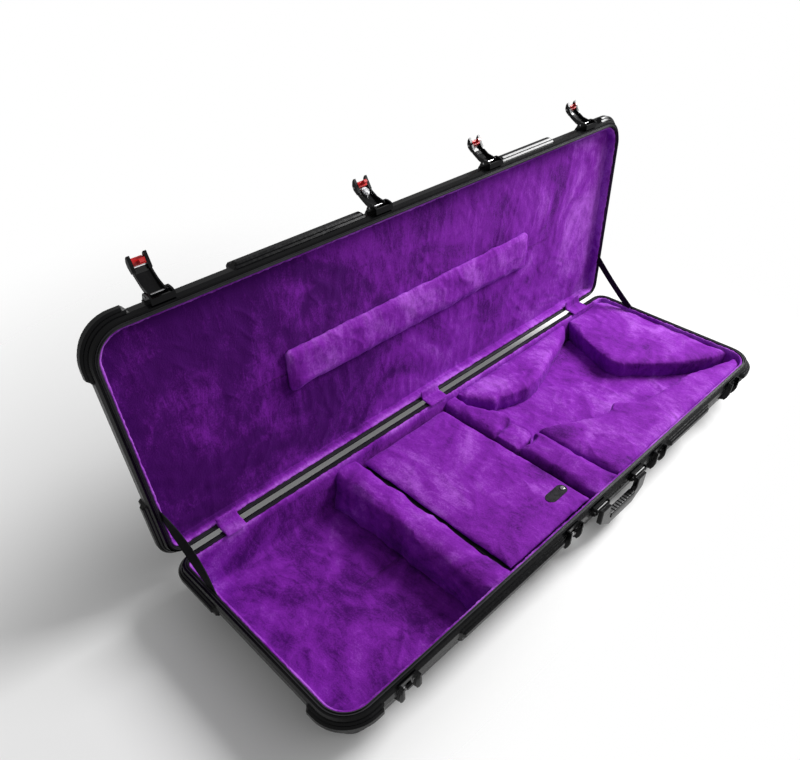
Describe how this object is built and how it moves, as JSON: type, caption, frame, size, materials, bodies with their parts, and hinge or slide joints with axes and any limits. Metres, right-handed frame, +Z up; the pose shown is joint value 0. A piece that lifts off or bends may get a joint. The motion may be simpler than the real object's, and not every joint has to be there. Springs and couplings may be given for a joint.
{
  "type": "molded instrument case",
  "caption": "Long moulded hard case standing open, with plush-lined pockets, latches with sprung triggers, a carrying handle and a hinged compartment lid inside.",
  "frame": {"origin": "middle of the flat bottom the case stands on, halfway between its ends", "axes": "+X along the case, away from the storage compartment; +Z up; the latches and handle face -Y"},
  "size_m": [1.227, 0.5195, 0.5524],
  "materials": {
    "shell_plastic": "fine moulded grain, satin black",
    "rim_metal": "dark satin extrusion with fine grooves along it",
    "plush": "short crushed purple pile",
    "webbing": "dark woven ribbon",
    "tab_vinyl": "grey grained pull tab",
    "latch_plastic": "satin black moulding",
    "grip_rubber": "soft ribbed grip",
    "trigger_plastic": "glossy red moulding",
    "bright_steel": "bright plated steel",
    "chrome": "polished chrome"
  },
  "bodies": {
    "base": {"base_shell": "shell_plastic", "base_valance": "rim_metal", "base_lining": "plush", "neck_rest": "plush", "compartment_tape": "webbing", "pocket_pad": "plush", "foam_waist": "plush", "foam_tail": "plush", "foam_front": "plush", "foam_neck_back": "plush", "foam_neck_front": "plush", "neck_cradle": "plush", "latch_keepers": "latch_plastic", "keeper_rivets": "bright_steel", "handle_brackets": "latch_plastic", "handle_bracket_rivets": "bright_steel", "handle_pins": "bright_steel", "hinge_base_leaves": "bright_steel", "hinge_pins": "bright_steel", "hinge_rivets_base": "bright_steel", "hinge_covers": "plush", "strap_left": "webbing", "strap_right": "webbing", "strap_rivets_base": "bright_steel"},
    "lid": {"lid_shell": "shell_plastic", "lid_valance": "rim_metal", "lid_lining": "plush", "lid_border": "plush", "lid_pad": "plush", "hinge_lid_leaves": "bright_steel", "hinge_rivets_lid": "bright_steel", "latch_brackets": "latch_plastic", "latch_pivot_pins": "bright_steel", "bracket_rivets": "bright_steel", "strap_rivets_lid": "bright_steel"},
    "handle": {"handle_frame": "latch_plastic", "handle_grip": "grip_rubber"},
    "compartment_lid": {"compartment_lid": "plush", "pull_tab": "tab_vinyl", "tab_rivet": "bright_steel"},
    "lock_core": {"lock_core": "chrome"},
    "arm_1": {"latch_arm_1": "latch_plastic", "trigger_pin_1": "bright_steel", "trigger_spring_1": "bright_steel"},
    "trigger_1": {"trigger_1": "trigger_plastic"},
    "arm_2": {"latch_arm_2": "latch_plastic", "trigger_pin_2": "bright_steel", "trigger_spring_2": "bright_steel", "lock_barrel": "chrome", "lock_nut": "chrome"},
    "trigger_2": {"trigger_2": "trigger_plastic"},
    "arm_3": {"latch_arm_3": "latch_plastic", "trigger_pin_3": "bright_steel", "trigger_spring_3": "bright_steel"},
    "trigger_3": {"trigger_3": "trigger_plastic"},
    "arm_4": {"latch_arm_4": "latch_plastic", "trigger_pin_4": "bright_steel", "trigger_spring_4": "bright_steel"},
    "trigger_4": {"trigger_4": "trigger_plastic"}
  },
  "joints": [
    {"name": "lid_hinge", "type": "hinge", "parent": "base", "child": "lid", "pos_m": [0, 0.2086, 0.0876], "axis": [1, 0, 0], "range_deg": [0, 92], "deforming": ["strap_left", "strap_right", "hinge_covers"]},
    {"name": "latch_1_arm", "type": "hinge", "parent": "lid", "child": "arm_1", "pos_m": [-0.487, 0.24873, 0.50906], "axis": [1, 0, 0], "range_deg": [-15.5, 121]},
    {"name": "latch_1_trigger", "type": "hinge", "parent": "arm_1", "child": "trigger_1", "pos_m": [-0.487, 0.28215, 0.53922], "axis": [-1, 0, 0], "range_deg": [0, 10], "stiffness_Nm_per_rad": 0.05, "springref_deg": -17.19},
    {"name": "latch_2_arm", "type": "hinge", "parent": "lid", "child": "arm_2", "pos_m": [-0.094, 0.24873, 0.50906], "axis": [1, 0, 0], "range_deg": [0, 136.5]},
    {"name": "latch_2_trigger", "type": "hinge", "parent": "arm_2", "child": "trigger_2", "pos_m": [-0.094, 0.289, 0.52919], "axis": [-1, 0, 0], "range_deg": [0, 10], "stiffness_Nm_per_rad": 0.05, "springref_deg": -17.19},
    {"name": "lock_turn", "type": "hinge", "parent": "arm_2", "child": "lock_core", "pos_m": [-0.094, 0.27791, 0.52286], "axis": [0, 0.6626, -0.749], "range_deg": [0, 90]},
    {"name": "latch_3_arm", "type": "hinge", "parent": "lid", "child": "arm_3", "pos_m": [0.184, 0.24873, 0.50906], "axis": [1, 0, 0], "range_deg": [0, 136.5]},
    {"name": "latch_3_trigger", "type": "hinge", "parent": "arm_3", "child": "trigger_3", "pos_m": [0.184, 0.289, 0.52919], "axis": [-1, 0, 0], "range_deg": [0, 10], "stiffness_Nm_per_rad": 0.05, "springref_deg": -17.19},
    {"name": "latch_4_arm", "type": "hinge", "parent": "lid", "child": "arm_4", "pos_m": [0.487, 0.24873, 0.50906], "axis": [1, 0, 0], "range_deg": [0, 136.5]},
    {"name": "latch_4_trigger", "type": "hinge", "parent": "arm_4", "child": "trigger_4", "pos_m": [0.487, 0.289, 0.52919], "axis": [-1, 0, 0], "range_deg": [0, 10], "stiffness_Nm_per_rad": 0.05, "springref_deg": -17.19},
    {"name": "handle_swing", "type": "hinge", "parent": "base", "child": "handle", "pos_m": [0.045, -0.213, 0.086], "axis": [-1, 0, 0], "range_deg": [0, 90]},
    {"name": "compartment_lid_hinge", "type": "hinge", "parent": "base", "child": "compartment_lid", "pos_m": [-0.2265, 0, 0.076], "axis": [0, 1, 0], "range_deg": [-95, 0], "deforming": ["compartment_tape"]}
  ]
}
